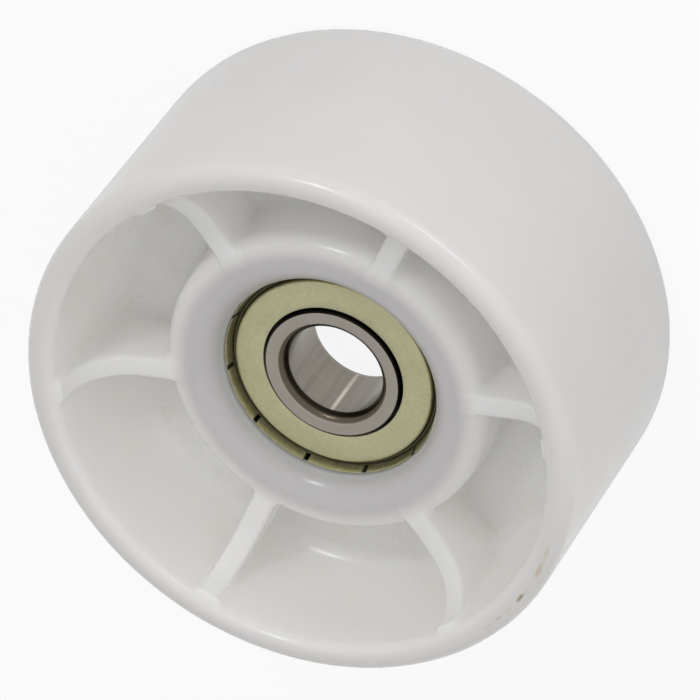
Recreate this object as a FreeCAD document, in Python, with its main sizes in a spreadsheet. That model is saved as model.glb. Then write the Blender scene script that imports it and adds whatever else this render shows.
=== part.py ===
import FreeCAD, Part
import math
import os
import re
import Sketcher

# Tension wheel of a tumble dryer: a moulded plastic wheel that the back of the belt runs on, with a
# shielded deep-groove ball bearing moulded into its hub. Millimetres. The wheel lies on its rear rim
# face, the axle runs along +Z, and the origin is on the axis in the plane of the rear rim face.

doc = FreeCAD.newDocument("tension_wheel")
sheet = doc.addObject("Spreadsheet::Sheet", "Sizes")

SIZES = [
    ("wheel_diameter", 46.0, "tread diameter"),
    ("wheel_width", 23.0, "tread width, rear rim face to front rim face"),
    ("rim_wall", 2.25, "rim thickness at the lip"),
    ("rim_outer_round", 1.2, "rounding between tread and rim face"),
    ("rim_inner_round", 0.9, "rounding between rim face and recess"),
    ("draft_angle", 1.5, "mould draft of the recess walls, degrees"),
    ("bearing_depth", 7.8, "front rim face to bearing face"),
    ("web_depth", 11.3, "front rim face to the web"),
    ("web_thickness", 2.0, "closed web between hub and rim"),
    ("web_rim_round", 2.0, "rounding where the web meets the rim"),
    ("web_hub_round", 0.8, "rounding where the web meets the hub"),
    ("round_clearance", 0.1, "least plain wall between two roundings"),
    ("hub_diameter", 27.0, "outside of the hub"),
    ("hub_rise", 2.1, "hub end above the bearing face"),
    ("hub_round", 1.6, "rounding of the hub's outer edge"),
    ("mouth_diameter", 18.1, "opening that shows the bearing"),
    ("mouth_lip", 0.55, "plastic over the outer ring's face"),
    ("mouth_bevel", 1.5, "radial width of the bevel round the opening"),
    ("mouth_round", 1.2, "rounding of the bevel's top edge"),
    ("rib_count", 6, "ribs on each side"),
    ("rib_thickness", 1.8, "rib between its flares"),
    ("rib_hub_flare", 0.6, "rib flare at the hub"),
    ("rib_rim_flare", 0.7, "rib flare at the rim"),
    ("rib_sweep", 4.4, "radius of the rib's climb up the rim wall"),
    ("rib_nub", 0.3, "how far the rib's top end stands off the rim wall"),
    ("rib_end_depth", 0.9, "front rim face to the rib's top end"),
    ("rib_overlap", 0.1, "rib's run onto the hub's rounded edge"),
    ("rib_turn", 30.0, "angle of the first rib, degrees"),
    ("bearing_bore", 8.0, "bearing bore"),
    ("bearing_diameter", 22.0, "bearing outside diameter"),
    ("bearing_width", 7.0, "bearing width"),
    ("pitch_diameter", 15.0, "circle through the ball centres"),
    ("ball_diameter", 3.969, "bearing ball"),
    ("ball_count", 7, "bearing balls"),
    ("ball_play", 0.015, "radial gap between a ball and each raceway"),
    ("race_radius", 2.064, "raceway groove, across the groove"),
    ("outer_ring_corner", 0.3, "chamfer of the outer ring"),
    ("outer_land_diameter", 17.8, "outer ring beside the raceway"),
    ("shield_seat_diameter", 19.3, "recess in the outer ring for the shield"),
    ("inner_ring_corner", 0.5, "chamfer of the bore"),
    ("inner_ring_edge", 0.15, "chamfer of the inner ring's outside"),
    ("inner_land_diameter", 12.1, "inner ring beside the raceway"),
    ("inner_end_diameter", 11.44, "inner ring under the shield"),
    ("inner_step_depth", 0.95, "depth of the inner ring's reduced end"),
    ("shield_gauge", 0.3, "shield sheet thickness"),
    ("shield_set_back", 0.2, "shield below the ring faces"),
    ("shield_step", 0.5, "height of the shield's bend"),
    ("shield_gap", 0.2, "radial gap between shield and inner ring"),
    ("shield_flat_diameter", 16.4, "flat face of the shield"),
    ("shield_flange_diameter", 17.3, "inside of the crimped flange"),
    ("shield_bend_round", 0.25, "rounding of the shield's bend"),
    ("shield_slots", 11, "slots in the crimped flange"),
    ("shield_slot_width", 0.6, "slot width"),
    ("shield_turn", 16.2, "angle of the first slot, degrees"),
    ("cage_gauge", 0.3, "cage sheet thickness"),
    ("cage_width", 1.8, "radial width of the cage ribbon"),
    ("cage_pocket_gap", 0.12, "gap between a ball and its pocket"),
    ("rivet_diameter", 0.8, "cage rivet"),
    ("rivet_head", 1.2, "cage rivet head"),
    ("rivet_head_height", 0.2, "cage rivet head height"),
]

for row, (alias, value, meaning) in enumerate(SIZES, start=1):
    sheet.set("A%d" % row, meaning)
    sheet.set("B%d" % row, str(value))
    sheet.setAlias("B%d" % row, alias)
doc.recompute()
ALIASES = {alias for alias, value, meaning in SIZES}


def size(text):
    """The value, in millimetres or degrees, of a formula over the sheet's names."""
    value = sheet.evalExpression(text)
    return float(getattr(value, "Value", value))


def bound(text):
    """The same formula as another object of the document reads it."""
    return re.sub("[a-z_]+", lambda word: "Sizes." + word[0] if word[0] in ALIASES else word[0], text)


# Heights and radii that several pieces share, each a formula over the sheet.
AXIS_UP = FreeCAD.Vector(0, 0, 1)
BEARING_FRONT = "(wheel_width - bearing_depth)"
BEARING_REAR = "(wheel_width - bearing_depth - bearing_width)"
BEARING_MIDDLE = "(wheel_width - bearing_depth - bearing_width / 2)"
WEB_FRONT = "(wheel_width - web_depth)"
WEB_REAR = "(wheel_width - web_depth - web_thickness)"
WEB_MIDDLE = "(wheel_width - web_depth - web_thickness / 2)"
HUB_FRONT = "(wheel_width - bearing_depth + hub_rise)"
HUB_REAR = "(wheel_width - bearing_depth - bearing_width - hub_rise)"
LIP_RADIUS = "(wheel_diameter / 2 - rim_wall)"
RIB_START = "(hub_diameter / 2 - hub_round + rib_overlap)"
SHIELD_DROP = "(shield_set_back + shield_step + shield_gauge)"


def new_body(name):
    body = doc.addObject("PartDesign::Body", name)
    body.Label = name
    return body


def new_sketch(body, name, role, height=None):
    """A sketch on one of the body's own origin planes, lifted to a height if one is given."""
    sketch = body.newObject("Sketcher::SketchObject", name)
    plane = [item for item in body.Origin.OriginFeatures if item.Role == role][0]
    sketch.AttachmentSupport = [(plane, "")]
    sketch.MapMode = "FlatFace"
    if height is not None:
        sketch.setExpression("AttachmentOffset.Base.z", bound(height))
    return sketch


def arc_between(start, end, radius, turn):
    """An arc from start to end that turns left for turn 1 and right for turn -1."""
    chord = end - start
    half = chord.Length / 2
    rise = math.sqrt(max(radius * radius - half * half, 0.0))
    side = FreeCAD.Vector(-chord.y, chord.x, 0).normalize() * turn
    centre = (start + end) * 0.5 + side * rise
    first, last = (start, end) if turn > 0 else (end, start)
    circle = Part.Circle(centre, AXIS_UP, radius)
    angles = [math.atan2(point.y - centre.y, point.x - centre.x) for point in (first, last)]
    if angles[1] < angles[0]:
        angles[1] += 2 * math.pi
    return Part.ArcOfCircle(circle, angles[0], angles[1])


def draw_outline(sketch, corners):
    """A closed outline. A corner is (across, up), or (across, up, radius, turn) where an arc leaves it."""
    points = [FreeCAD.Vector(size(corner[0]), size(corner[1]), 0) for corner in corners]
    count = len(corners)
    leaving = []
    arriving = []
    for index, corner in enumerate(corners):
        start = points[index]
        end = points[(index + 1) % count]
        if len(corner) == 2:
            sketch.addGeometry(Part.LineSegment(start, end), False)
        else:
            sketch.addGeometry(arc_between(start, end, size(corner[2]), corner[3]), False)
        backwards = len(corner) == 4 and corner[3] < 0
        leaving.append(2 if backwards else 1)
        arriving.append(1 if backwards else 2)
    for index, corner in enumerate(corners):
        before = (index - 1) % count
        sketch.addConstraint(
            Sketcher.Constraint("Coincident", before, arriving[before], index, leaving[index]))
        bind_point(sketch, index, leaving[index], corner[0], corner[1])
        if len(corner) == 4:
            bind_constraint(sketch, Sketcher.Constraint("Radius", index, size(corner[2])), corner[2])


def bind_constraint(sketch, constraint, text):
    number = sketch.addConstraint(constraint)
    sketch.setExpression("Constraints[%d]" % number, bound(text))


def bind_point(sketch, geometry, end, across, up):
    """Hold one point of a sketch at two formulas, measured from the sketch's origin."""
    along_x = Sketcher.Constraint("DistanceX", -1, 1, geometry, end, size(across))
    bind_constraint(sketch, along_x, across)
    along_y = Sketcher.Constraint("DistanceY", -1, 1, geometry, end, size(up))
    bind_constraint(sketch, along_y, up)


def draw_circle(sketch, across, up, radius):
    centre = FreeCAD.Vector(size(across), size(up), 0)
    sketch.addGeometry(Part.Circle(centre, AXIS_UP, size(radius)), False)
    bind_point(sketch, 0, 3, across, up)
    bind_constraint(sketch, Sketcher.Constraint("Radius", 0, size(radius)), radius)


def turned(body, kind, name, sketch):
    """Turn a sketch a full circle about the axis, as added (Revolution) or cut (Groove) material."""
    feature = body.newObject("PartDesign::" + kind, name)
    feature.Profile = sketch
    feature.ReferenceAxis = (sketch, ["V_Axis"])
    feature.Angle = 360.0
    body.Tip = feature
    doc.recompute()
    return feature


def padded(body, name, sketch, length, downwards):
    feature = body.newObject("PartDesign::Pad", name)
    feature.Profile = sketch
    feature.setExpression("Length", bound(length))
    feature.Reversed = downwards
    body.Tip = feature
    return feature


def patterned(body, name, originals, count):
    """Copies spaced evenly round the axis."""
    pattern = body.newObject("PartDesign::PolarPattern", name)
    pattern.Originals = originals
    axis = [item for item in body.Origin.OriginFeatures if item.Role == "Z_Axis"][0]
    pattern.Axis = (axis, [""])
    pattern.Angle = 360.0
    pattern.setExpression("Occurrences", bound(count))
    body.Tip = pattern
    doc.recompute()
    return pattern


def circle_edges(feature, rings):
    """Names of the feature's full circles that match a list of (radius, height) formulas."""
    names = []
    for radius, height in rings:
        for number, edge in enumerate(feature.Shape.Edges, start=1):
            curve = edge.Curve
            if not isinstance(curve, Part.Circle):
                continue
            same_radius = abs(curve.Radius - size(radius)) < 0.001
            if same_radius and abs(curve.Center.z - size(height)) < 0.001:
                names.append("Edge%d" % number)
    return names


def rounded(body, name, base, rings, radius):
    """Round the circular edges that are given as (radius, height) formulas."""
    names = circle_edges(base, rings)
    if len(names) != len(rings):
        raise RuntimeError("%s: found %d edges of %d" % (name, len(names), len(rings)))
    feature = body.newObject("PartDesign::Fillet", name)
    feature.Base = (base, names)
    feature.setExpression("Radius", bound(radius))
    body.Tip = feature
    doc.recompute()
    return feature


def check_cut(name, before, after):
    """A cut that points away from the solid removes nothing and reports no error."""
    if after.Shape.Volume > before.Shape.Volume - 0.001:
        raise RuntimeError(name + " removes nothing")


# Wheel. One moulding: rim, closed web and hub are turned from one section, and the hub's two lips
# close over the faces of the bearing's outer ring, which was laid in the mould.
wheel = new_body("wheel")
section = new_sketch(wheel, "wheel_section", "XZ_Plane")
mouth_radius = "mouth_diameter / 2"
bevel_radius = "(mouth_diameter / 2 + mouth_bevel)"
hub_radius = "hub_diameter / 2"
seat_radius = "bearing_diameter / 2"
front_hub_foot = "(hub_diameter / 2 + (%s - %s) * tan(draft_angle))" % (HUB_FRONT, WEB_FRONT)
front_rim_foot = "(wheel_diameter / 2 - rim_wall - web_depth * tan(draft_angle))"
rear_hub_foot = "(hub_diameter / 2 + (%s - %s) * tan(draft_angle))" % (WEB_REAR, HUB_REAR)
rear_rim_foot = "(wheel_diameter / 2 - rim_wall - %s * tan(draft_angle))" % WEB_REAR
draw_outline(section, [
    (mouth_radius, BEARING_FRONT),
    (mouth_radius, BEARING_FRONT + " + mouth_lip"),
    (bevel_radius, HUB_FRONT),
    (hub_radius, HUB_FRONT),
    (front_hub_foot, WEB_FRONT),
    (front_rim_foot, WEB_FRONT),
    (LIP_RADIUS, "wheel_width"),
    ("wheel_diameter / 2", "wheel_width"),
    ("wheel_diameter / 2", "0"),
    (LIP_RADIUS, "0"),
    (rear_rim_foot, WEB_REAR),
    (rear_hub_foot, WEB_REAR),
    (hub_radius, HUB_REAR),
    (bevel_radius, HUB_REAR),
    (mouth_radius, BEARING_REAR + " - mouth_lip"),
    (mouth_radius, BEARING_REAR),
    (seat_radius + " - outer_ring_corner", BEARING_REAR),
    (seat_radius, BEARING_REAR + " + outer_ring_corner"),
    (seat_radius, BEARING_FRONT + " - outer_ring_corner"),
    (seat_radius + " - outer_ring_corner", BEARING_FRONT),
])
moulding = turned(wheel, "Revolution", "wheel_moulding", section)
moulding = rounded(wheel, "tread_edges", moulding, [
    ("wheel_diameter / 2", "wheel_width"),
    ("wheel_diameter / 2", "0"),
], "rim_outer_round")
moulding = rounded(wheel, "lip_edges", moulding, [
    (LIP_RADIUS, "wheel_width"),
    (LIP_RADIUS, "0"),
], "rim_inner_round")
# A hub that stands low over the web gets a smaller rounding, so that a plain wall stays above the
# rounding at its foot.
low_hub_round = "min(hub_round; %s - %s - web_hub_round - round_clearance)"
moulding = rounded(wheel, "front_hub_edge", moulding, [(hub_radius, HUB_FRONT)],
                   low_hub_round % (HUB_FRONT, WEB_FRONT))
moulding = rounded(wheel, "rear_hub_edge", moulding, [(hub_radius, HUB_REAR)],
                   low_hub_round % (WEB_REAR, HUB_REAR))
moulding = rounded(wheel, "mouth_edges", moulding, [
    (bevel_radius, HUB_FRONT),
    (bevel_radius, HUB_REAR),
], "mouth_round")
moulding = rounded(wheel, "web_rim_corners", moulding, [
    (front_rim_foot, WEB_FRONT),
    (rear_rim_foot, WEB_REAR),
], "web_rim_round")
moulding = rounded(wheel, "web_hub_corners", moulding, [
    (front_hub_foot, WEB_FRONT),
    (rear_hub_foot, WEB_REAR),
], "web_hub_round")

# Ribs. Each stands on the web from hub to rim, flush with the hub's end, flared in plan at both ends.
# Towards the rim its top climbs the wall in a quarter circle and ends in a small nub under the lip.
rib_side = "rib_thickness / 2"
hub_flare_side = "(rib_thickness / 2 + rib_hub_flare)"
rim_flare_side = "(rib_thickness / 2 + rib_rim_flare)"
hub_side_x = "sqrt((hub_diameter / 2) ^ 2 - %s ^ 2)" % hub_flare_side
rim_side_x = "sqrt(%s ^ 2 - %s ^ 2)" % (front_rim_foot, rim_flare_side)
rib_root_x = "(wheel_diameter / 2 - rim_wall / 2)"


def rib_outline():
    """Half of the rib's plan from hub to rim, then the other half back."""
    far = [
        (RIB_START + " + rib_overlap / 2", "-" + hub_flare_side),
        (hub_side_x, "-" + hub_flare_side, "rib_hub_flare", 1),
        (hub_side_x + " + rib_hub_flare", "-" + rib_side),
        (rim_side_x + " - rib_rim_flare", "-" + rib_side, "rib_rim_flare", 1),
        (rim_side_x, "-" + rim_flare_side),
        (rib_root_x, "-" + rim_flare_side),
    ]
    near = [
        (rib_root_x, rim_flare_side),
        (rim_side_x, rim_flare_side, "rib_rim_flare", 1),
        (rim_side_x + " - rib_rim_flare", rib_side),
        (hub_side_x + " + rib_hub_flare", rib_side, "rib_hub_flare", 1),
        (hub_side_x, hub_flare_side),
        (RIB_START + " + rib_overlap / 2", hub_flare_side),
    ]
    return far + near


rib_plan = new_sketch(wheel, "rib_plan", "XY_Plane", WEB_MIDDLE)
draw_outline(rib_plan, rib_outline())
front_rib = padded(wheel, "front_rib", rib_plan, "web_depth + web_thickness / 2 - rib_end_depth", False)
rear_rib = padded(wheel, "rear_rib", rib_plan, WEB_MIDDLE + " - rib_end_depth", True)
doc.recompute()
ribs = patterned(wheel, "ribs", [front_rib, rear_rib], "rib_count")


def rib_relief(name, hub_end, rim_face, upwards):
    """Space above the ribs on one side, as a section that is turned to trim their tops."""
    sign = "+" if upwards else "-"
    sweep_end = "(%s %s rib_sweep)" % (hub_end, sign)
    if upwards:
        wall_depth = "(wheel_width - %s)" % sweep_end
    else:
        wall_depth = sweep_end
    wall_radius = "(%s - %s * tan(draft_angle) - rib_nub)" % (LIP_RADIUS, wall_depth)
    outside = "%s %s 1" % (rim_face, sign)
    relief = new_sketch(wheel, name + "_section", "XZ_Plane")
    draw_outline(relief, [
        (RIB_START, hub_end),
        (wall_radius + " - rib_sweep", hub_end, "rib_sweep", 1 if upwards else -1),
        (wall_radius, sweep_end),
        (wall_radius, outside),
        (RIB_START, outside),
    ])
    return turned(wheel, "Groove", name, relief)


front_relief = rib_relief("front_rib_tops", HUB_FRONT, "wheel_width", True)
check_cut("front_rib_tops", ribs, front_relief)
rear_relief = rib_relief("rear_rib_tops", HUB_REAR, "0", False)
check_cut("rear_rib_tops", front_relief, rear_relief)
wheel.setExpression("Placement.Rotation.Angle", bound("rib_turn"))

# Bearing rings. Hardened steel, turned and ground. Heights are from the bearing's rear face.
race_middle = "bearing_width / 2"
outer_ring = new_body("outer_ring")
outer_section = new_sketch(outer_ring, "outer_ring_section", "XZ_Plane")
outer_land = "outer_land_diameter / 2"
shield_seat = "shield_seat_diameter / 2"
draw_outline(outer_section, [
    (outer_land, SHIELD_DROP),
    (shield_seat, SHIELD_DROP),
    (shield_seat, "0"),
    (seat_radius + " - outer_ring_corner", "0"),
    (seat_radius, "outer_ring_corner"),
    (seat_radius, "bearing_width - outer_ring_corner"),
    (seat_radius + " - outer_ring_corner", "bearing_width"),
    (shield_seat, "bearing_width"),
    (shield_seat, "bearing_width - " + SHIELD_DROP),
    (outer_land, "bearing_width - " + SHIELD_DROP),
])
outer_blank = turned(outer_ring, "Revolution", "outer_ring_blank", outer_section)
outer_groove = new_sketch(outer_ring, "outer_race_section", "XZ_Plane")
outer_race_centre = "(pitch_diameter / 2 + ball_diameter / 2 + ball_play - race_radius)"
draw_circle(outer_groove, outer_race_centre, race_middle, "race_radius")
outer_race = turned(outer_ring, "Groove", "outer_race", outer_groove)
check_cut("outer_race", outer_blank, outer_race)
outer_ring.setExpression("Placement.Base.z", bound(BEARING_REAR))

inner_ring = new_body("inner_ring")
inner_section = new_sketch(inner_ring, "inner_ring_section", "XZ_Plane")
bore_radius = "bearing_bore / 2"
inner_end = "inner_end_diameter / 2"
inner_land = "inner_land_diameter / 2"
draw_outline(inner_section, [
    (bore_radius, "inner_ring_corner"),
    (bore_radius + " + inner_ring_corner", "0"),
    (inner_end + " - inner_ring_edge", "0"),
    (inner_end, "inner_ring_edge"),
    (inner_end, "inner_step_depth"),
    (inner_land, "inner_step_depth"),
    (inner_land, "bearing_width - inner_step_depth"),
    (inner_end, "bearing_width - inner_step_depth"),
    (inner_end, "bearing_width - inner_ring_edge"),
    (inner_end + " - inner_ring_edge", "bearing_width"),
    (bore_radius + " + inner_ring_corner", "bearing_width"),
    (bore_radius, "bearing_width - inner_ring_corner"),
])
inner_blank = turned(inner_ring, "Revolution", "inner_ring_blank", inner_section)
inner_groove = new_sketch(inner_ring, "inner_race_section", "XZ_Plane")
inner_race_centre = "(pitch_diameter / 2 - ball_diameter / 2 - ball_play + race_radius)"
draw_circle(inner_groove, inner_race_centre, race_middle, "race_radius")
inner_race = turned(inner_ring, "Groove", "inner_race", inner_groove)
check_cut("inner_race", inner_blank, inner_race)
inner_ring.setExpression("Placement.Base.z", bound(BEARING_REAR))

# Shields. Pressed sheet steel: a flat washer, a bend, and a flange that is crimped into the outer
# ring's recess. Slots divide the flange into tongues. Heights are from the flange's inner face.
def shield(name, faces_front):
    body = new_body(name)
    sketch = new_sketch(body, name + "_section", "XZ_Plane")
    hole_radius = "(inner_end_diameter / 2 + shield_gap)"
    draw_outline(sketch, [
        (hole_radius, "shield_step"),
        ("shield_flat_diameter / 2", "shield_step"),
        ("shield_flange_diameter / 2", "0"),
        (shield_seat, "0"),
        (shield_seat, "shield_gauge"),
        ("shield_flange_diameter / 2", "shield_gauge"),
        ("shield_flat_diameter / 2", "shield_step + shield_gauge"),
        (hole_radius, "shield_step + shield_gauge"),
    ])
    plate = turned(body, "Revolution", name + "_plate", sketch)
    bend = rounded(body, name + "_bend", plate, [
        ("shield_flat_diameter / 2", "shield_step + shield_gauge"),
    ], "shield_bend_round")
    slot_sketch = new_sketch(body, name + "_slot_plan", "XY_Plane")
    draw_outline(slot_sketch, [
        ("shield_flange_diameter / 2", "-shield_slot_width / 2"),
        (shield_seat + " + shield_gauge", "-shield_slot_width / 2"),
        (shield_seat + " + shield_gauge", "shield_slot_width / 2"),
        ("shield_flange_diameter / 2", "shield_slot_width / 2"),
    ])
    slot = body.newObject("PartDesign::Pocket", name + "_slot")
    slot.Profile = slot_sketch
    slot.setExpression("Length", bound("shield_step + shield_gauge"))
    slot.Reversed = True
    body.Tip = slot
    doc.recompute()
    check_cut(name + "_slot", bend, slot)
    patterned(body, name + "_slots", [slot], "shield_slots")
    if faces_front:
        body.setExpression("Placement.Base.z", bound("%s - %s" % (BEARING_FRONT, SHIELD_DROP)))
        body.setExpression("Placement.Rotation.Angle", bound("shield_turn"))
    else:
        body.Placement.Rotation = FreeCAD.Rotation(FreeCAD.Vector(1, 0, 0), 180)
        body.setExpression("Placement.Base.z", bound("%s + %s" % (BEARING_REAR, SHIELD_DROP)))
    return body


front_shield = shield("front_shield", True)
rear_shield = shield("rear_shield", False)

# Balls. Hardened steel, equally spaced on the pitch circle.
ball_count = int(size("ball_count"))


def spot(index, share):
    """X and Y formulas of a place on the pitch circle, in steps of one ball with a share of a step."""
    angle = "(360 / ball_count * %g)" % (index + share)
    return "pitch_diameter / 2 * cos%s" % angle, "pitch_diameter / 2 * sin%s" % angle


def put_at(item, across, along, up):
    item.setExpression("Placement.Base.x", bound(across))
    item.setExpression("Placement.Base.y", bound(along))
    item.setExpression("Placement.Base.z", bound(up))


balls = []
for index in range(ball_count):
    name = "ball_%d" % (index + 1)
    ball = doc.addObject("Part::Sphere", name)
    ball.Label = name
    ball.setExpression("Radius", bound("ball_diameter / 2"))
    put_at(ball, *spot(index, 0.0), BEARING_MIDDLE)
    balls.append(ball)

# Cage. Two pressed ribbons, each with a cup over every ball, riveted together between the balls.
def cylinder(name, radius, length):
    item = doc.addObject("Part::Cylinder", name)
    item.setExpression("Radius", bound(radius))
    item.setExpression("Height", bound(length))
    return item


def band(name, length):
    """A flat or tall ring of the cage's radial width."""
    outside = cylinder(name + "_outside", "pitch_diameter / 2 + cage_width / 2", length)
    inside = cylinder(name + "_inside", "pitch_diameter / 2 - cage_width / 2", length)
    ring = doc.addObject("Part::Cut", name)
    ring.Base = outside
    ring.Tool = inside
    return ring


def pocket_spheres(name, radius):
    spheres = []
    for index in range(ball_count):
        sphere = doc.addObject("Part::Sphere", "%s_%d" % (name, index + 1))
        sphere.setExpression("Radius", bound(radius))
        put_at(sphere, *spot(index, 0.0), "0")
        spheres.append(sphere)
    return spheres


def cage_half(name):
    """One ribbon in its own frame, with the flat side on the joint between the two halves."""
    inner_radius = "ball_diameter / 2 + cage_pocket_gap"
    outer_radius = inner_radius + " + cage_gauge"
    flat = band(name + "_flat", "cage_gauge")
    cupped = doc.addObject("Part::MultiFuse", name + "_cupped")
    cupped.Shapes = [flat] + pocket_spheres(name + "_cup", outer_radius)
    envelope = band(name + "_envelope", outer_radius)
    trimmed = doc.addObject("Part::MultiCommon", name + "_trimmed")
    trimmed.Shapes = [cupped, envelope]
    hollows = pocket_spheres(name + "_hollow", inner_radius)
    for index in range(ball_count):
        hole = cylinder("%s_hole_%d" % (name, index + 1), "rivet_diameter / 2", "cage_gauge")
        put_at(hole, *spot(index, 0.5), "0")
        hollows.append(hole)
    tools = doc.addObject("Part::Compound", name + "_hollows")
    tools.Links = hollows
    ribbon = doc.addObject("Part::Cut", name)
    ribbon.Base = trimmed
    ribbon.Tool = tools
    ribbon.Label = name
    return ribbon


cage_front = cage_half("cage_front")
cage_front.setExpression("Placement.Base.z", bound(BEARING_MIDDLE))
cage_rear = cage_half("cage_rear")
cage_rear.Placement.Rotation = FreeCAD.Rotation(FreeCAD.Vector(1, 0, 0), 180)
cage_rear.setExpression("Placement.Base.z", bound(BEARING_MIDDLE))

rivet_parts = []
for index in range(ball_count):
    shank = cylinder("rivet_%d_shank" % (index + 1), "rivet_diameter / 2", "cage_gauge * 2")
    put_at(shank, *spot(index, 0.5), BEARING_MIDDLE + " - cage_gauge")
    front_head = cylinder("rivet_%d_front_head" % (index + 1), "rivet_head / 2", "rivet_head_height")
    put_at(front_head, *spot(index, 0.5), BEARING_MIDDLE + " + cage_gauge")
    rear_head = cylinder("rivet_%d_rear_head" % (index + 1), "rivet_head / 2", "rivet_head_height")
    put_at(rear_head, *spot(index, 0.5), BEARING_MIDDLE + " - cage_gauge - rivet_head_height")
    rivet_parts += [shank, front_head, rear_head]
cage_rivets = doc.addObject("Part::MultiFuse", "cage_rivets")
cage_rivets.Shapes = rivet_parts
cage_rivets.Label = "cage_rivets"

doc.recompute()

nodes = [wheel, outer_ring, inner_ring, front_shield, rear_shield, cage_front, cage_rear, cage_rivets]
nodes += balls
for item in doc.Objects:
    if "Invalid" in item.State or "Error" in item.State:
        raise RuntimeError(item.Name + " failed: " + ", ".join(item.State))
for node in nodes:
    if node.Shape.isNull() or not node.Shape.isValid():
        raise RuntimeError(node.Label + " has no valid shape")
os.makedirs("parts", exist_ok=True)
for node in nodes:
    node.Shape.exportStep("parts/%s.step" % node.Label)
    print(node.Label, len(node.Shape.Solids), "solid(s)", round(node.Shape.Volume, 2), "mm3")
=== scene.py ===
import math

import bmesh
import bpy
import numpy as np
from mathutils import Matrix, Vector


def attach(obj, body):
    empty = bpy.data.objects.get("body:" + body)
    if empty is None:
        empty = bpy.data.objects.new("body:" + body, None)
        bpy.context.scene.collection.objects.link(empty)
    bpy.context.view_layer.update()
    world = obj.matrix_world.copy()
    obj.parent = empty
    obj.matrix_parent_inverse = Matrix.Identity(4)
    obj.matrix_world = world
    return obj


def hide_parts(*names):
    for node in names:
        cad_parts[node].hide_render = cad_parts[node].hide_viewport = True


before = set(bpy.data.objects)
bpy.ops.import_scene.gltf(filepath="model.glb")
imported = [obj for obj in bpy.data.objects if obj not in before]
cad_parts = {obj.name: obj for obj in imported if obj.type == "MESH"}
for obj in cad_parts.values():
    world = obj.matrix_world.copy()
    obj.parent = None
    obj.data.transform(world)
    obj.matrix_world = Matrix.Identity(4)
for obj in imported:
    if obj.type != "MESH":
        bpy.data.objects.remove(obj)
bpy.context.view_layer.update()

# Camera. A long lens looks down on the wheel's front at 50 degrees from its faces, turned so that the
# axle points to the lower left of the picture, as the wheel was held up before the lens.
MM = 0.001
view_right = Vector((0.8541, 0.3517, -0.3830))
view_down = Vector((0.5141, -0.6825, 0.5196))
view_ahead = Vector((-0.0787, -0.6407, -0.7638))
wheel_seen_at = Vector((4.385, -5.964, 505.34)) * MM
lens_data = bpy.data.cameras.new("camera")
lens_data.sensor_width = 36.0
lens_data.lens = 324.0
lens_data.clip_start = 0.01
lens_data.clip_end = 20.0
camera = bpy.data.objects.new("camera", lens_data)
bpy.context.scene.collection.objects.link(camera)
turn = Matrix((view_right, -view_down, -view_ahead)).transposed()
stand = -(view_right * wheel_seen_at.x + view_down * wheel_seen_at.y + view_ahead * wheel_seen_at.z)
camera.matrix_world = Matrix.Translation(stand) @ turn.to_4x4()
bpy.context.scene.camera = camera

# Light. White panels all round on a white table, as in a small light tent, with a softer share of
# lamps from the side that the picture shows bright. The tent is large, so shadows stay faint.
class Wire:
    """One output socket of a shader tree. Arithmetic on it adds Math nodes to the tree."""

    def __init__(self, tree, socket):
        self.tree = tree
        self.socket = socket

    def math(self, operation, *others):
        node = self.tree.nodes.new("ShaderNodeMath")
        node.operation = operation
        for place, value in enumerate((self,) + others):
            put(self.tree, node.inputs[place], value)
        return Wire(self.tree, node.outputs[0])

    def __add__(self, other):
        return self.math("ADD", other)

    __radd__ = __add__

    def __sub__(self, other):
        return self.math("SUBTRACT", other)

    def __rsub__(self, other):
        return (self * -1.0) + other

    def __mul__(self, other):
        return self.math("MULTIPLY", other)

    __rmul__ = __mul__

    def __truediv__(self, other):
        return self.math("DIVIDE", other)

    def __pow__(self, other):
        return self.math("POWER", other)

    def most(self, other):
        return self.math("MAXIMUM", other)

    def between(self, low, high):
        """0 below low, 1 above high, and a smooth step between."""
        node = self.tree.nodes.new("ShaderNodeMapRange")
        node.interpolation_type = "SMOOTHSTEP"
        put(self.tree, node.inputs["Value"], self)
        node.inputs["From Min"].default_value = low
        node.inputs["From Max"].default_value = high
        return Wire(self.tree, node.outputs["Result"])


def put(tree, socket, value):
    """Link a wire to a socket, or set the socket's own value."""
    if isinstance(value, Wire):
        tree.links.new(value.socket, socket)
    else:
        socket.default_value = value


scene = bpy.context.scene
scene.view_settings.view_transform = "Standard"
LIT_FROM = (0.12, 0.97, 0.20)
TENT_BRIGHT = 0.81
TENT_DIM = 0.40
world = bpy.data.worlds.new("light_tent")
scene.world = world
world.use_nodes = True
tent = world.node_tree
tent.nodes.clear()
tent_output = tent.nodes.new("ShaderNodeOutputWorld")
ray = tent.nodes.new("ShaderNodeLightPath")
toward = tent.nodes.new("ShaderNodeTexCoord")
slant = tent.nodes.new("ShaderNodeVectorMath")
slant.operation = "DOT_PRODUCT"
slant.inputs[1].default_value = LIT_FROM
tent.links.new(toward.outputs["Generated"], slant.inputs[0])
brightness = Wire(tent, slant.outputs["Value"]).between(-0.9, 0.9) * (TENT_BRIGHT - TENT_DIM) + TENT_DIM
tent_light = tent.nodes.new("ShaderNodeBackground")
tent_light.inputs["Color"].default_value = (1.0, 1.0, 1.0, 1.0)
put(tent, tent_light.inputs["Strength"], brightness)
seen_white = tent.nodes.new("ShaderNodeBackground")
seen_white.inputs["Color"].default_value = (1.0, 1.0, 1.0, 1.0)
seen_white.inputs["Strength"].default_value = 1.0
either = tent.nodes.new("ShaderNodeMixShader")
mirrored_ray = Wire(tent, ray.outputs["Is Glossy Ray"])
through_ray = Wire(tent, ray.outputs["Is Transmission Ray"])
seen_ray = Wire(tent, ray.outputs["Is Camera Ray"])
MIRRORED_WHITE = 0.4
put(tent, either.inputs[0], seen_ray + mirrored_ray.most(through_ray) * MIRRORED_WHITE)
tent.links.new(tent_light.outputs[0], either.inputs[1])
tent.links.new(seen_white.outputs[0], either.inputs[2])
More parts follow.
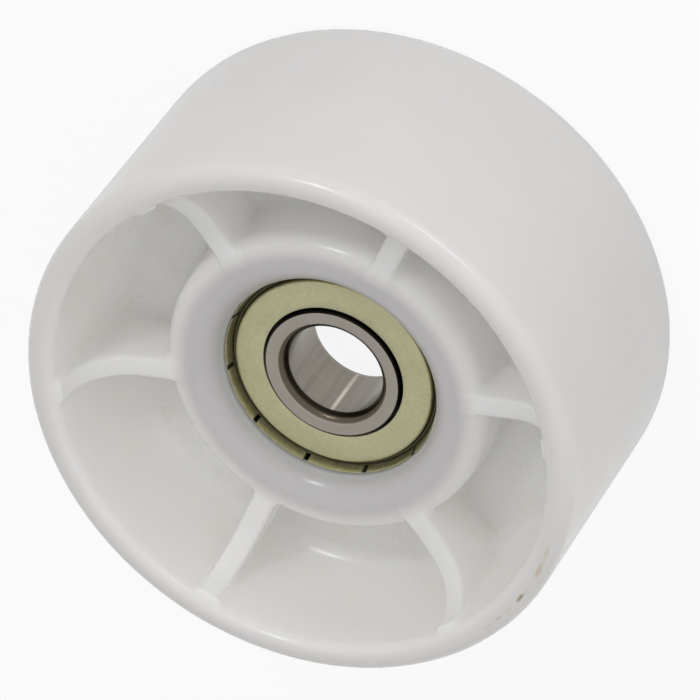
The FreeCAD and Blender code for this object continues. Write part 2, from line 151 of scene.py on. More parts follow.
tent.links.new(either.outputs[0], tent_output.inputs["Surface"])


def panel(name, across, down, toward, size, power):
    """A square lamp that faces the wheel. Its place is given in the picture's own directions, metres."""
    lamp = bpy.data.lights.new(name, "AREA")
    lamp.shape = "SQUARE"
    lamp.size = size
    lamp.energy = power
    item = bpy.data.objects.new(name, lamp)
    scene.collection.objects.link(item)
    middle = Vector((0.0, 0.0, 0.0115))
    spot = middle + view_right * across + view_down * down - view_ahead * toward
    item.location = spot
    item.rotation_euler = (middle - spot).to_track_quat("-Z", "Y").to_euler()
    return item


panel("panel_above", 0.17, -0.20, 0.19, 0.16, 0.34)
panel("small_lamp", -0.22, -0.18, 0.43, 0.055, 0.27)

# Table. A white sheet under the wheel: seen from above it melts into the white background, and it
# keeps the wheel's soft shadow.
class Finish:
    """A node material on one Principled shader, written as expressions."""

    def __init__(self, name):
        self.material = bpy.data.materials.new(name)
        self.material.use_nodes = True
        self.tree = self.material.node_tree
        self.tree.nodes.clear()
        self.output = self.tree.nodes.new("ShaderNodeOutputMaterial")

    def node(self, kind, settings=None, output=0, **values):
        """Any node: settings first, then its sockets by name, with _ for a space."""
        node = self.tree.nodes.new("ShaderNode" + kind)
        for key, value in (settings or {}).items():
            setattr(node, key, value)
        for key, value in values.items():
            put(self.tree, node.inputs[key.replace("_", " ")], value)
        return Wire(self.tree, node.outputs[output])

    def place(self):
        return self.node("TexCoord", output="Object")

    def mix(self, factor, first, second):
        node = self.tree.nodes.new("ShaderNodeMix")
        node.data_type = "RGBA"
        put(self.tree, node.inputs[0], factor)
        put(self.tree, node.inputs[6], first)
        put(self.tree, node.inputs[7], second)
        return Wire(self.tree, node.outputs[2])

    def split(self, vector):
        node = self.tree.nodes.new("ShaderNodeSeparateXYZ")
        put(self.tree, node.inputs[0], vector)
        return [Wire(self.tree, node.outputs[place]) for place in range(3)]

    def noise(self, vector, scale, detail=3.0, roughness=0.5):
        return self.node("TexNoise", Vector=vector, Scale=scale, Detail=detail, Roughness=roughness)

    def bump(self, height, distance, strength=1.0):
        return self.node("Bump", Height=height, Distance=distance, Strength=strength)

    def surface(self, **values):
        """The Principled shader, linked to the output."""
        shader = self.node("BsdfPrincipled", **values)
        self.tree.links.new(shader.socket, self.output.inputs["Surface"])
        return self.material


def rgb(red, green, blue):
    """A colour as it is seen, 0 to 255, in the shader's linear scale."""
    seen = [red / 255, green / 255, blue / 255]
    return tuple(v / 12.92 if v <= 0.04045 else ((v + 0.055) / 1.055) ** 2.4 for v in seen) + (1.0,)


table = bpy.data.meshes.new("table")
SHEET_REACH = 1.5
SHEET_TOP = -0.0001
sheet_corners = [(-SHEET_REACH, -SHEET_REACH, SHEET_TOP), (SHEET_REACH, -SHEET_REACH, SHEET_TOP),
                 (SHEET_REACH, SHEET_REACH, SHEET_TOP), (-SHEET_REACH, SHEET_REACH, SHEET_TOP)]
table.from_pydata(sheet_corners, [], [(0, 1, 2, 3)])
floor = bpy.data.objects.new("floor", table)
scene.collection.objects.link(floor)
paper = Finish("white_sheet")
paper_grain = paper.noise(paper.place(), 6.0)
paper_colour = paper.mix(paper_grain, rgb(228, 228, 228), rgb(232, 232, 232))
lit_sheet = paper.node("BsdfDiffuse", Color=paper_colour)
bright_sheet = paper.node("Emission", Color=(1.0, 1.0, 1.0, 1.0), Strength=1.0)
seen = paper.node("LightPath", output="Is Camera Ray")
mirrored_there = paper.node("LightPath", output="Is Glossy Ray")
through = paper.node("LightPath", output="Is Transmission Ray")
blend = paper.tree.nodes.new("ShaderNodeMixShader")
put(paper.tree, blend.inputs[0], seen * 0.90 + (mirrored_there.most(through)) * 0.75)
paper.tree.links.new(lit_sheet.socket, blend.inputs[1])
paper.tree.links.new(bright_sheet.socket, blend.inputs[2])
paper.tree.links.new(blend.outputs[0], paper.output.inputs["Surface"])
floor.data.materials.append(paper.material)

# Wheel. One moulding in white acetal: rim, closed web, hub and six ribs on each side. The hub's lips
# hold the bearing, which lay in the mould. A twelfth of it is meshed, then copied round the axis.
TREAD = 23.0
WIDTH = 23.0
RIM_INSIDE = 20.75
RIM_FOOT = 2.0
HUB_FLAT = 11.9
HUB_WALL = 13.5
HUB_EDGE = 1.6
HUB_FOOT = 0.8
HUB_OVER_RING = 2.1
LIP_UNDER = 0.9
RIB_HALF = 0.9
RIB_SWEEP = 4.4
NUB = 0.3
DRAFT = math.tan(math.radians(1.5))


def side_profile(front):
    """Depths in mm from one rim face to the bearing's ring and to the floor of the pockets."""
    bearing = 7.8 if front else 8.2
    web = 11.3 if front else 9.7
    return bearing, web


def arc(centre, radius, start, end, steps):
    """Points on an arc from one angle to another, degrees."""
    angles = [math.radians(start + (end - start) * step / steps) for step in range(steps + 1)]
    return [(centre[0] + radius * math.cos(a), centre[1] + radius * math.sin(a)) for a in angles]


def hub_rows(bearing, web):
    """From the flat of the hub's end, over its rounded edge and down its wall to the floor. Depths."""
    top = bearing - HUB_OVER_RING
    edge = arc((HUB_FLAT, top + HUB_EDGE), HUB_EDGE, -90, 0, 7)
    foot = HUB_WALL + (web - top) * DRAFT
    corner = [(foot + HUB_FOOT - HUB_FOOT * math.sin(a), web - HUB_FOOT + HUB_FOOT * math.cos(a))
              for a in np.radians([90, 78, 64, 50, 36, 22, 9, 0])]
    low = corner[0][1]
    middle = [(HUB_WALL + 0.3 * (foot - HUB_WALL), edge[-1][1] + 0.35 * (low - edge[-1][1])),
              (HUB_WALL + 0.7 * (foot - HUB_WALL), edge[-1][1] + 0.7 * (low - edge[-1][1]))]
    return edge + middle + corner


def rim_rows(web):
    """From just under the lip down the rim's wall and its rounded foot to the floor. Depths."""
    foot = RIM_INSIDE - web * DRAFT
    low = web - RIM_FOOT
    walls = [LIP_UNDER, 1.0, 1.14, 1.32, 1.6, 2.1, 2.9, 4.0, 5.4, (5.4 + low) / 2]
    wall = [(RIM_INSIDE - depth * DRAFT, depth) for depth in walls]
    corner = [(foot - RIM_FOOT + RIM_FOOT * math.cos(a), low + RIM_FOOT * math.sin(a))
              for a in np.radians([0, 14, 28, 41, 54, 67, 80, 90])]
    return wall + corner


def rib_top(bearing):
    """The rib's top from the hub's end out to the wall, with the climb and the small nub. Depths."""
    top = bearing - HUB_OVER_RING
    wall = RIM_INSIDE - (top - RIB_SWEEP) * DRAFT - NUB
    flat = [(r, top) for r in (HUB_FLAT, 12.05, 12.35, 12.8, 13.3, 13.9, 14.6, 15.3)]
    climb = arc((wall - RIB_SWEEP, top - RIB_SWEEP), RIB_SWEEP, 90, 6, 11)
    nub = [(wall, 1.32), (wall - 0.03, 1.1), (wall, 0.95), (wall + 0.14, LIP_UNDER)]
    end = (RIM_INSIDE - LIP_UNDER * DRAFT, LIP_UNDER)
    return flat + climb + nub + [end]


def coons(top, bottom, left, right):
    """A grid of points between four boundary lines that meet at their ends."""
    top, bottom, left, right = [np.array(line) for line in (top, bottom, left, right)]

    def share(line):
        steps = np.r_[0, np.cumsum(np.linalg.norm(np.diff(line, axis=0), axis=1))]
        return steps / steps[-1]

    across = (share(top) + share(bottom)) / 2
    downwards = (share(left) + share(right)) / 2
    u = across[None, :, None]
    v = downwards[:, None, None]
    ruled = (1 - v) * top[None] + v * bottom[None] + (1 - u) * left[:, None] + u * right[:, None]
    corners = ((1 - v) * ((1 - u) * top[0] + u * top[-1]) + v * ((1 - u) * bottom[0] + u * bottom[-1]))
    return ruled - corners


def around(radius):
    """Angles, from the rib's middle to the middle of the pocket, at one radius."""
    foot = math.asin(RIB_HALF / radius)
    rib = [math.asin(RIB_HALF * share / radius) for share in ACROSS]
    near = [foot + step / radius for step in (0.1, 0.22, 0.38, 0.6, 0.9)]
    last = near[-1]
    far = [last + (math.pi / 6 - last) * step / 7 for step in range(1, 8)]
    return rib, [foot] + near + far


ACROSS = (0.0, 0.25, 0.5, 0.68, 0.8, 0.9, 0.96, 1.0)
points = []
faces = []


def add_grid(rows):
    """A grid of quads from rows of points, in mm."""
    rows = np.array(rows, float)
    first = len(points)
    high, wide = rows.shape[:2]
    points.extend(rows.reshape(-1, 3))
    for i in range(high - 1):
        for j in range(wide - 1):
            a = first + i * wide + j
            faces.append((a, a + 1, a + wide + 1, a + wide))


def polar(radius, angle, height):
    return (radius * math.cos(angle), radius * math.sin(angle), height)


def turned_rows(profile, part):
    """Rows of points for a turned part of the wheel: part 0 over the rib, 1 beside it, 2 both."""
    rows = []
    for radius, height in profile:
        rib, side = around(radius)
        angles = rib if part == 0 else side if part == 1 else rib + side[1:]
        rows.append([polar(radius, a, height) for a in angles])
    return rows


def one_side(front):
    bearing, web = side_profile(front)

    def up(profile):
        return [(r, WIDTH - depth if front else depth) for r, depth in profile]

    hub = up(hub_rows(bearing, web))
    rim = up(rim_rows(web))
    top = up(rib_top(bearing))
    add_grid(turned_rows(hub, 1))
    add_grid(turned_rows(rim, 1))
    # Rib top: one column of the grid for each share of the rib's thickness.
    add_grid([[polar(r, math.asin(RIB_HALF * s / r), z) for s in ACROSS] for r, z in top])
    # Rib side, in the plane of the rib's flank.
    count = len(top)
    floor_line = [tuple(np.array(hub[-1]) + (np.array(rim[-1]) - np.array(hub[-1])) * step / (count - 1))
                  for step in range(count)]
    flank = coons(top, floor_line, hub, rim)
    add_grid([[polar(r, math.asin(RIB_HALF / r), z) for r, z in row] for row in flank])
    # Floor of the pocket.
    add_grid(turned_rows(floor_line, 1))
    return hub, rim, top


front_lines = one_side(True)
rear_lines = one_side(False)
lip = arc((21.65, 22.1), 0.9, 180, 90, 7)
lip = [(front_lines[1][0][0], front_lines[1][0][1])] + lip[1:]
face = arc((21.8, 21.8), 1.2, 90, 0, 8)
tread = [(TREAD, z) for z in (21.7, 17.0, 11.5, 6.0, 1.3)]
back = [(r, WIDTH - z) for r, z in reversed(lip + face)]
back[-1] = (rear_lines[1][0][0], rear_lines[1][0][1])
add_grid(turned_rows(lip + face + tread + back, 2))


def mouth_rows(ring_face, sign):
    """From the hub's flat end over the rounded mouth down to the lip above the outer ring."""
    top = ring_face + sign * HUB_OVER_RING
    lip_height = ring_face + sign * 0.55
    low = (9.3, lip_height + sign * 0.25)
    bend = 2.2
    drop = abs(top - low[1])
    reach = math.sqrt(bend ** 2 - (bend - drop) ** 2)
    last = math.atan2(reach, bend - drop)
    over = [(low[0] + reach - bend * math.sin(a), top - sign * bend * (1 - math.cos(a)))
            for a in np.linspace(0, last, 12)]
    edge = [(9.2, lip_height + sign * 0.12), (9.12, lip_height + sign * 0.04),
            (9.07, lip_height - sign * 0.02), (9.05, lip_height - sign * 0.1)]
    return [(HUB_FLAT, top), (11.82, top)] + over + edge


RING_FACE = 15.2
RING_BACK = 8.2
front_mouth = mouth_rows(RING_FACE, 1)
rear_mouth = mouth_rows(RING_BACK, -1)
seat = [(9.05, RING_FACE), (10.7, RING_FACE), (11.0, 14.9), (11.0, 8.5), (10.7, RING_BACK),
        (9.05, RING_BACK)]
add_grid(turned_rows(front_mouth + seat + rear_mouth[::-1], 2))
points = np.array(points)


def outline_distance(flat, outline):
    """Signed distance in a half plane from points to a closed outline, negative inside."""
    start = np.array(outline, float)
    end = np.roll(start, -1, axis=0)
    run = end - start
    best = np.full(len(flat), 1e9)
    inside = np.zeros(len(flat), bool)
    for (ax, ay), (dx, dy), (bx, by) in zip(start, run, end):
        length = dx * dx + dy * dy
        if length < 1e-12:
            continue
        t = np.clip(((flat[:, 0] - ax) * dx + (flat[:, 1] - ay) * dy) / length, 0, 1)
        best = np.minimum(best, np.hypot(flat[:, 0] - ax - t * dx, flat[:, 1] - ay - t * dy))
        crossing = (ay > flat[:, 1]) != (by > flat[:, 1])
        inside ^= crossing & (flat[:, 0] < dx * (flat[:, 1] - ay) / (dy if dy else 1e-9) + ax)
    return np.where(inside, -best, best)


turned_outline = (front_mouth[::-1] + front_lines[0][1:]
                  + front_lines[1][::-1] + lip[1:] + face + tread + back[:-1]
                  + rear_lines[1] + rear_lines[0][::-1][:-1] + rear_mouth + seat[::-1])
rib_outline = (front_lines[2][:-1] + [(22.0, front_lines[2][-2][1]), (22.0, rear_lines[2][-2][1])]
               + rear_lines[2][:-1][::-1] + [(11.5, 6.1), (11.5, 17.3)])


RIB_EDGE = 0.28
RIB_ROOT = 0.55


def moulding_distance(place):
    """Signed distance to the moulding, with rounded rib edges and a rounded corner at the rib's root."""
    flat = np.c_[np.hypot(place[:, 0], place[:, 1]), place[:, 2]]
    body = outline_distance(flat, turned_outline)
    along = outline_distance(np.c_[place[:, 0], place[:, 2]], rib_outline)
    lateral = np.abs(place[:, 1]) - RIB_HALF
    edge = RIB_EDGE
    u = np.maximum(edge + along, 0)
    v = np.maximum(edge + lateral, 0)
    rib = np.minimum(-edge, np.maximum(along, lateral)) + np.hypot(u, v)
    root = RIB_ROOT
    u = np.maximum(root - body, 0)
    v = np.maximum(root - rib, 0)
    return np.maximum(root, np.minimum(body, rib)) - np.hypot(u, v)


def settle(place, keep_lateral, rounds=7):
    """Move points along the slope of the distance until they lie on the moulding."""
    step = 1e-4
    for _ in range(rounds):
        value = moulding_distance(place)
        slope = np.zeros_like(place)
        for axis in range(3):
            ahead = place.copy()
            ahead[:, axis] += step
            behind = place.copy()
            behind[:, axis] -= step
            slope[:, axis] = (moulding_distance(ahead) - moulding_distance(behind)) / (2 * step)
        length = np.maximum((slope ** 2).sum(axis=1), 0.05)
        move = -slope * np.clip(value / length, -0.25, 0.25)[:, None]
        move[keep_lateral, 1] = 0.0
        place = place + move
    return place


radius_now = np.hypot(points[:, 0], points[:, 1])
angle_now = np.arctan2(points[:, 1], points[:, 0])
near_rib = (radius_now > 11.6) & (radius_now < 20.8) & (angle_now < math.radians(29.99))
on_middle = np.abs(points[:, 1]) < 1e-6
points[near_rib] = settle(points[near_rib], on_middle[near_rib])


def mesh_of(name, corners, quads, scale=MM):
    """A mesh with its doubles merged and its faces outward."""
    mesh = bpy.data.meshes.new(name)
    mesh.from_pydata([tuple(c * scale for c in corner) for corner in corners], [], quads)
    work = bmesh.new()
    work.from_mesh(mesh)
    bmesh.ops.remove_doubles(work, verts=work.verts, dist=0.002 * MM)
    bmesh.ops.dissolve_degenerate(work, dist=0.001 * MM, edges=work.edges)
    bmesh.ops.recalc_face_normals(work, faces=work.faces)
    work.to_mesh(mesh)
    work.free()
    return mesh


def piece_of(name, mesh):
    item = bpy.data.objects.new(name, mesh)
    scene.collection.objects.link(item)
    return item


mirrored = points * np.array([1.0, -1.0, 1.0])
sector_points = np.r_[points, mirrored]
sector_faces = faces + [tuple(len(points) + c for c in face[::-1]) for face in faces]
sector = mesh_of("wheel_sixth", sector_points, sector_faces)


def ring_tree():
    """Geometry Nodes: copies of a piece spaced evenly about the Z axis, joined into one."""
    tree = bpy.data.node_groups.new("ring_of_copies", "GeometryNodeTree")
    face_in = tree.interface
    face_in.new_socket(name="Geometry", in_out="INPUT", socket_type="NodeSocketGeometry")
    face_in.new_socket(name="Count", in_out="INPUT", socket_type="NodeSocketInt")
    face_in.new_socket(name="First angle", in_out="INPUT", socket_type="NodeSocketFloat")
    face_in.new_socket(name="Merge distance", in_out="INPUT", socket_type="NodeSocketFloat")
    face_in.new_socket(name="Material", in_out="INPUT", socket_type="NodeSocketMaterial")
    face_in.new_socket(name="Geometry", in_out="OUTPUT", socket_type="NodeSocketGeometry")
    new = tree.nodes.new
    link = tree.links.new
    inside = new("NodeGroupInput")
    outside = new("NodeGroupOutput")
    centres = new("GeometryNodeMeshLine")
    centres.inputs["Offset"].default_value = (0.0, 0.0, 0.0)
    link(inside.outputs["Count"], centres.inputs["Count"])
    number = new("GeometryNodeInputIndex")
    pitch = new("ShaderNodeMath")
    pitch.operation = "DIVIDE"
    pitch.inputs[0].default_value = 2 * math.pi
    link(inside.outputs["Count"], pitch.inputs[1])
    angle = new("ShaderNodeMath")
    angle.operation = "MULTIPLY_ADD"
    link(number.outputs[0], angle.inputs[0])
    link(pitch.outputs[0], angle.inputs[1])
    link(inside.outputs["First angle"], angle.inputs[2])
    turned_by = new("ShaderNodeCombineXYZ")
    link(angle.outputs[0], turned_by.inputs["Z"])
    copies = new("GeometryNodeInstanceOnPoints")
    link(centres.outputs["Mesh"], copies.inputs["Points"])
    link(inside.outputs["Geometry"], copies.inputs["Instance"])
    link(turned_by.outputs[0], copies.inputs["Rotation"])
    real = new("GeometryNodeRealizeInstances")
    link(copies.outputs[0], real.inputs[0])
    merged = new("GeometryNodeMergeByDistance")
    link(real.outputs[0], merged.inputs["Geometry"])
    link(inside.outputs["Merge distance"], merged.inputs["Distance"])
    finish = new("GeometryNodeSetMaterial")
    link(merged.outputs[0], finish.inputs["Geometry"])
    link(inside.outputs["Material"], finish.inputs["Material"])
    link(finish.outputs[0], outside.inputs[0])
    return tree


copies_tree = ring_tree()


def ring_of(name, mesh, count, first, merge, material):
    """A plain mesh of the copies that the tree makes of one piece."""
    seed = piece_of(name + "_one", mesh)
    seed.data.materials.append(material)
    modifier = seed.modifiers.new("copies", "NODES")
    modifier.node_group = copies_tree
    values = {"Count": count, "First angle": math.radians(first), "Merge distance": merge * MM,
              "Material": material}
    for socket in copies_tree.interface.items_tree:
        if socket.in_out == "INPUT" and socket.name in values:
            modifier[socket.identifier] = values[socket.name]
    bpy.context.view_layer.update()
    shape = seed.evaluated_get(bpy.context.evaluated_depsgraph_get())
    plain = bpy.data.meshes.new_from_object(shape)
    seed.modifiers.remove(modifier)
    bpy.data.objects.remove(seed)
    work = bmesh.new()
    work.from_mesh(plain)
    bmesh.ops.recalc_face_normals(work, faces=work.faces)
    work.to_mesh(plain)
    work.free()
    plain.name = name
    return piece_of(name, plain)


def smooth(item, sharp=32.0):
    """Smooth shading with creases where the surface turns by more than the given angle."""
    item.data.shade_smooth()
    item.data.set_sharp_from_angle(angle=math.radians(sharp))


def turn_about(axis_x, axis_y):
    """The angle about the axle, from two coordinates."""
    return axis_y.math("ARCTAN2", axis_x)


moulded = Finish("white_moulded_plastic")
where = moulded.place()
x, y, z = moulded.split(where)
from_axis = (x * x + y * y) ** 0.5
cloud = moulded.noise(where, 90.0, 4.0, 0.55)
fine_cloud = moulded.noise(where, 420.0, 3.0, 0.6)
# Inside the rim the plastic is painted lighter than on the tread and rim face: painted light, standing for
# light that passes through the plastic into the pockets.
outside = moulded.mix(cloud, rgb(220, 218, 216), rgb(228, 226, 225))
inside = moulded.mix(cloud, rgb(247, 245, 242), rgb(251, 249, 246))
recess = 1 - from_axis.between(20.2 * MM, 21.6 * MM)
recess_painted_light = moulded.mix(recess, outside, inside)
# The hub's plastic is thin over the steel ring: its end and mouth are painted a shade darker there, partly
# the steel's grey showing through and partly painted shade.
over_ring = (1 - from_axis.between(11.3 * MM, 13.3 * MM)) * 0.85
hub_shaded_tone = moulded.mix(over_ring, recess_painted_light, rgb(200, 198, 199))
in_pocket = from_axis.between(13.0 * MM, 14.6 * MM) * (1 - from_axis.between(18.6 * MM, 20.6 * MM))
low_front = 1 - z.between(11.8 * MM, 14.5 * MM)
dust = in_pocket * low_front * fine_cloud.between(0.42, 0.72)
dusted = moulded.mix(dust * 0.20, hub_shaded_tone, rgb(205, 192, 172))
# Rubbed-in belt dirt and oil on the rim's front corner, in a few brown marks along a faint arc.
about = turn_about(x, y)
on_corner = from_axis.between(21.3 * MM, 21.8 * MM) * (1 - from_axis.between(22.5 * MM, 22.95 * MM))
on_corner = on_corner * z.between(22.0 * MM, 22.5 * MM)
arc_part = about.between(-0.36, -0.20) * (1 - about.between(0.12, 0.30))
blotch = moulded.noise(where, 700.0, 2.0, 0.5)
smear = on_corner * arc_part * blotch.between(0.40, 0.75)
smeared = moulded.mix(smear * 0.14, dusted, rgb(196, 180, 150))


# Each mark: angle in degrees, then distance from the axis, length along the rim and width in mm, then
# strength and tone.
MARKS = [
    (-7.8, 22.02, 1.35, 0.40, 0.8, (140, 112, 78)),
    (-5.6, 22.05, 1.10, 0.34, 0.28, (190, 168, 130)),
    (0.6, 22.06, 2.10, 0.62, 0.5, (184, 166, 126)),
    (4.0, 22.04, 2.60, 0.50, 0.25, (190, 172, 134)),
    (6.9, 22.00, 1.70, 0.42, 0.32, (186, 168, 134)),
    (-12.2, 22.00, 1.50, 0.34, 0.30, (190, 172, 138)),
    (-15.5, 21.96, 1.30, 0.36, 0.45, (178, 158, 122)),
    (-19.0, 21.95, 1.40, 0.32, 0.28, (190, 172, 140)),
]


def mark(angle, distance, length, width):
    """A ragged smear that lies along the rim, 1 in its middle and 0 outside it."""
    along = (about - math.radians(angle)) * (distance * 2 / length)
    across = (from_axis - distance * MM) * (2 / (width * MM))
    reach = (along * along + across * across) ** 0.5
    return (1 - (reach + (blotch - 0.5) * 1.4).between(0.05, 1.1)) * z.between(21.9 * MM, 22.4 * MM)


spotted = smeared
for angle, distance, length, width, strength, tone in MARKS:
    spotted = moulded.mix(mark(angle, distance, length, width) * strength, spotted, rgb(*tone))
height = fine_cloud * 0.7 + blotch * 0.3
grain = moulded.bump(height, 0.02 * MM, 0.25)
gloss = 0.17 + cloud * 0.10 + dust * 0.15
white_plastic = moulded.surface(
    Base_Color=spotted, Roughness=gloss, IOR=1.48, Normal=grain, Subsurface_Weight=0.75,
    Subsurface_Radius=(1.0, 0.93, 0.84), Subsurface_Scale=0.0042)
wheel = ring_of("wheel_moulding", sector, 6, 30.0, 0.004, white_plastic)
smooth(wheel)
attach(wheel, "wheel")
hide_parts("wheel")

# Bearing rings. Hardened steel, turned, then ground: satin faces with fine circular marks, and a
# finer bore. The outer ring is held by the moulding, the inner ring by the axle.
def spun_mesh(name, loop, steps):
    """A closed section turned a full circle, from a closed loop of (radius, height) in mm."""
    corners = []
    quads = []
    count = len(loop)
    for step in range(steps):
        angle = 2 * math.pi * step / steps
        corners += [polar(radius, angle, height) for radius, height in loop]
        ahead = (step + 1) % steps
        for place in range(count):
            after = (place + 1) % count
            quads.append((step * count + place, step * count + after, ahead * count + after,
                          ahead * count + place))
    return mesh_of(name, corners, quads)


def rounded_loop(corners, steps=4):
    """A closed section whose corners, given as (radius, height, rounding), are arcs."""
    loop = []
    count = len(corners)
    for place, (r, h, rounding) in enumerate(corners):
        here = Vector((r, h))
        before = (Vector(corners[place - 1][:2]) - here).normalized()
        after = (Vector(corners[(place + 1) % count][:2]) - here).normalized()
        if rounding == 0:
            loop.append((r, h))
            continue
        half = before.angle(after) / 2
        reach = rounding / math.tan(half)
        centre = here + (before + after).normalized() * (rounding / math.sin(half))
        first = here + before * reach - centre
        last = here + after * reach - centre
        sweep = first.angle_signed(last)
        for step in range(steps + 1):
            a = -sweep * step / steps
            turned_to = Vector((first.x * math.cos(a) - first.y * math.sin(a),
                                first.x * math.sin(a) + first.y * math.cos(a)))
            loop.append(tuple(centre + turned_to))
    return loop


def ground_steel(name, tone_low, tone_high, roughness, chamfer_dark_reflection=None):
    """Ground steel with fine circular marks about the axis. Where a chamfer tone is given, the bore's
    turned chamfers are painted dark as a reflection, a bright line along the bore is a painted highlight,
    and the side under the shield is painted dark as shadow.
    """
    steel = Finish(name)
    place = steel.place()
    px, py, pz = steel.split(place)
    out = (px * px + py * py) ** 0.5
    section = steel.node("CombineXYZ", X=out * 9.0, Y=pz * 9.0, Z=0.0)
    rings = steel.noise(section, 900.0, 2.0, 0.6)
    patches = steel.noise(place, 260.0, 3.0, 0.6)
    tone = steel.mix(rings * 0.6 + patches * 0.4, tone_low, tone_high)
    if chamfer_dark_reflection:
        # The chamfers at the bore are painted dark: a painted reflection of dark surroundings.
        dark_reflection_band = out.between(4.02 * MM, 4.06 * MM) * (1 - out.between(4.50 * MM, 4.66 * MM))
        tone = steel.mix(dark_reflection_band, tone, chamfer_dark_reflection)
        drawn = steel.node("CombineXYZ", X=px, Y=py, Z=pz * 0.06)
        scratches = steel.noise(drawn, 1500.0, 3.0, 0.65)
        in_bore = 1 - out.between(4.01 * MM, 4.04 * MM)
        tone = steel.mix(in_bore * (0.30 + scratches.between(0.35, 0.8) * 0.24), tone, rgb(96, 90, 82))
        # One bright line along the bore: a painted highlight, standing for a lamp's reflection.
        off_painted_highlight = (turn_about(px, py) + math.radians(72.6)).math("ABSOLUTE")
        line = (1 - off_painted_highlight.between(0.0, 0.075)) * in_bore * patches.between(0.25, 0.6)
        tone = steel.mix(line * 0.8, tone, rgb(244, 234, 220))
        # The side that faces the shield is painted dark: painted shadow under the shield, with a film of
        # grease.
        tone = steel.mix(out.between(5.595 * MM, 5.615 * MM), tone, rgb(34, 30, 25))
    marks = steel.bump(rings, 0.004 * MM, 0.5)
    return steel.surface(Base_Color=tone, Metallic=1.0, Roughness=roughness + patches * 0.12, Normal=marks)


bearing_steel = ground_steel("ground_bearing_steel", rgb(154, 148, 139), rgb(190, 183, 174), 0.20,
                             rgb(98, 90, 78))
BORE = 4.0
LAND = 5.72
SHOULDER = 6.05
inner_loop = [
    (BORE, RING_BACK + 0.85, 0.1), (4.24, RING_BACK + 0.3, 0.6), (4.66, RING_BACK, 0.25),
    (5.60, RING_BACK, 0.0), (LAND, RING_BACK + 0.15, 0.0), (LAND, RING_BACK + 0.95, 0.0),
    (SHOULDER, RING_BACK + 0.95, 0.0)]
# The groove is a circle's arc that leaves the ball 0.015 mm of play.
GROOVE_CENTRE = 7.5645
GROOVE_RADIUS = 2.064
groove = arc((GROOVE_CENTRE, RING_BACK + 3.5), GROOVE_RADIUS, 222.79, 137.21, 16)
inner_loop = inner_loop + [(r, h, 0.0) for r, h in groove]
inner_loop += [
    (SHOULDER, RING_FACE - 0.95, 0.0), (LAND, RING_FACE - 0.95, 0.0), (LAND, RING_FACE - 0.15, 0.0),
    (5.60, RING_FACE, 0.0), (4.66, RING_FACE, 0.25), (4.24, RING_FACE - 0.3, 0.6),
    (BORE, RING_FACE - 0.85, 0.1)]
inner = piece_of("bearing_inner_ring", spun_mesh("bearing_inner_ring", rounded_loop(inner_loop), 144))
inner.data.materials.append(bearing_steel)
smooth(inner, 24.0)
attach(inner, "inner")
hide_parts("inner_ring")
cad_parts["outer_ring"].data.materials.clear()
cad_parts["outer_ring"].data.materials.append(
    ground_steel("oiled_ring_steel", rgb(52, 48, 42), rgb(84, 79, 70), 0.30))

# Shields. Thin zinc-plated sheet, pressed to a flat ring with a stepped edge, whose slotted flange is
# crimped into the outer ring's recess. One tongue is meshed, then copied eleven times.
FLAT = 14.94
DEEP = 14.2
shield_section = [
    (5.91, FLAT - 0.14, 14.62), (5.92, FLAT - 0.07, 14.6), (5.95, FLAT - 0.02, 14.6),
    (6.02, FLAT, 14.6), (6.6, FLAT, 14.6), (7.4, FLAT, 14.6), (8.06, FLAT, 14.6),
    (8.14, FLAT - 0.006, 14.58), (8.22, FLAT - 0.03, 14.54), (8.29, FLAT - 0.08, 14.48),
    (8.35, FLAT - 0.16, 14.4), (8.40, 14.60, 14.3), (8.45, 14.49, DEEP), (8.51, 14.43, DEEP),
    (8.58, 14.42, DEEP), (8.64, 14.45, DEEP), (8.70, 14.52, DEEP), (8.76, 14.64, DEEP),
    (8.81, 14.80, DEEP), (8.855, 14.98, DEEP), (8.895, 15.16, DEEP), (8.93, 15.31, DEEP),
    (8.965, 15.40, DEEP), (8.995, 15.41, DEEP), (9.02, 15.34, DEEP), (9.035, 15.10, DEEP),
    (9.04, 14.80, DEEP), (9.1, 14.58, DEEP), (9.3, 14.52, DEEP), (9.5, 14.5, DEEP),
    (9.65, 14.46, 14.24)]
SLOT_FROM = 17
SLOT_HALF = 0.2
SLOTS = 11


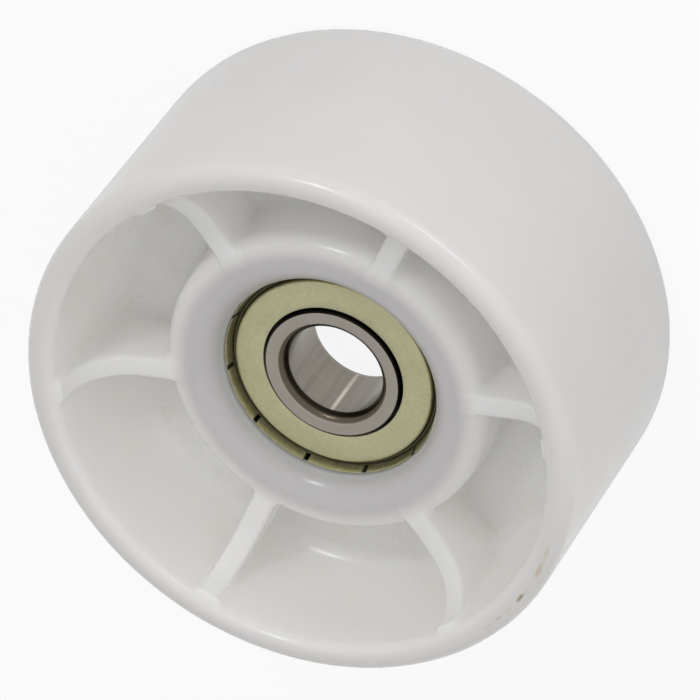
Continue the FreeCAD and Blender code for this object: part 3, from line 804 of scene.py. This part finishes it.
def tongue_mesh(name, flip):
    """An eleventh of the shield, from the middle of one slot to the middle of the next."""
    span = 2 * math.pi / SLOTS
    shares = np.linspace(0, 1, 13)
    radii = len(shield_section)
    corners = []
    for radius, high, low in shield_section:
        edge = math.asin(SLOT_HALF / radius)
        tongue = [edge + (span - 2 * edge) * share for share in shares]
        columns = [0.0, edge / 2] + tongue + [span - edge / 2, span]
        for angle in columns:
            top = high if not flip else RING_FACE + RING_BACK - high
            bottom = low if not flip else RING_FACE + RING_BACK - low
            corners.append(polar(radius, angle, top))
            corners.append(polar(radius, angle, bottom))
    wide = len(shares) + 4

    def at(row, column, side):
        return (row * wide + column) * 2 + side

    def sheet_is_there(row, column):
        in_slot = row >= SLOT_FROM and (column < 2 or column >= wide - 3)
        return 0 <= row < radii - 1 and not in_slot

    quads = []
    for row in range(radii - 1):
        for column in range(wide - 1):
            if not sheet_is_there(row, column):
                continue
            for side in (0, 1):
                quads.append((at(row, column, side), at(row + 1, column, side),
                              at(row + 1, column + 1, side), at(row, column + 1, side)))
            if not sheet_is_there(row - 1, column):
                quads.append((at(row, column, 0), at(row, column + 1, 0),
                              at(row, column + 1, 1), at(row, column, 1)))
            if not sheet_is_there(row + 1, column):
                quads.append((at(row + 1, column, 0), at(row + 1, column + 1, 0),
                              at(row + 1, column + 1, 1), at(row + 1, column, 1)))
            for neighbour, line in ((column - 1, column), (column + 1, column + 1)):
                if 0 <= neighbour < wide - 1 and not sheet_is_there(row, neighbour):
                    quads.append((at(row, line, 0), at(row + 1, line, 0),
                                  at(row + 1, line, 1), at(row, line, 1)))
    return mesh_of(name, corners, quads)


zinc = Finish("yellow_zinc_plate")
zinc_place = zinc.place()
zx, zy, zz = zinc.split(zinc_place)
zinc_out = (zx * zx + zy * zy) ** 0.5
fine = zinc.noise(zinc_place, 3200.0, 2.0, 0.7)
soft = zinc.noise(zinc_place, 330.0, 3.0, 0.55)
face_tone = zinc.mix(fine * 0.6 + soft * 0.4, rgb(174, 171, 134), rgb(223, 219, 181))
# The groove at the flange is painted dark as shadow, with some grease, and the bead's flank beyond it is
# painted bright as a highlight.
crimped = zinc_out.between(8.22 * MM, 8.42 * MM)
raised = zinc_out.between(8.68 * MM, 8.80 * MM)
groove_shadow_and_grease = zinc.mix(fine, rgb(70, 68, 50), rgb(112, 109, 84))
bead_painted_highlight = zinc.mix(fine, rgb(152, 149, 116), rgb(242, 238, 202))
zinc_tone = zinc.mix(crimped, face_tone, zinc.mix(raised, groove_shadow_and_grease, bead_painted_highlight))
plated = zinc.surface(
    Base_Color=zinc_tone, Metallic=0.7 + crimped * 0.2, Roughness=0.42 + fine * 0.14 - crimped * 0.14,
    Normal=zinc.bump(fine, 0.006 * MM, 0.7))
for name, node, flip, first in (("bearing_shield_front", "front_shield", False, 16.2),
                                ("bearing_shield_rear", "rear_shield", True, 0.0)):
    shield = ring_of(name, tongue_mesh(name + "_tongue", flip), SLOTS, first, 0.004, plated)
    smooth(shield, 40.0)
    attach(shield, "wheel")
    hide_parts(node)

# Balls and cage. Polished steel balls ride in two pressed strips that rivets hold together. Only a
# thin gap beside the shield lets them be seen.
polished = ground_steel("polished_ball_steel", rgb(176, 176, 176), rgb(200, 200, 200), 0.08)
pressed = ground_steel("pressed_cage_steel", rgb(140, 136, 128), rgb(176, 172, 164), 0.30)
for name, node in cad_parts.items():
    if name.startswith("ball_"):
        node.data.materials.clear()
        node.data.materials.append(polished)
    if name.startswith("cage_"):
        node.data.materials.clear()
        node.data.materials.append(pressed)
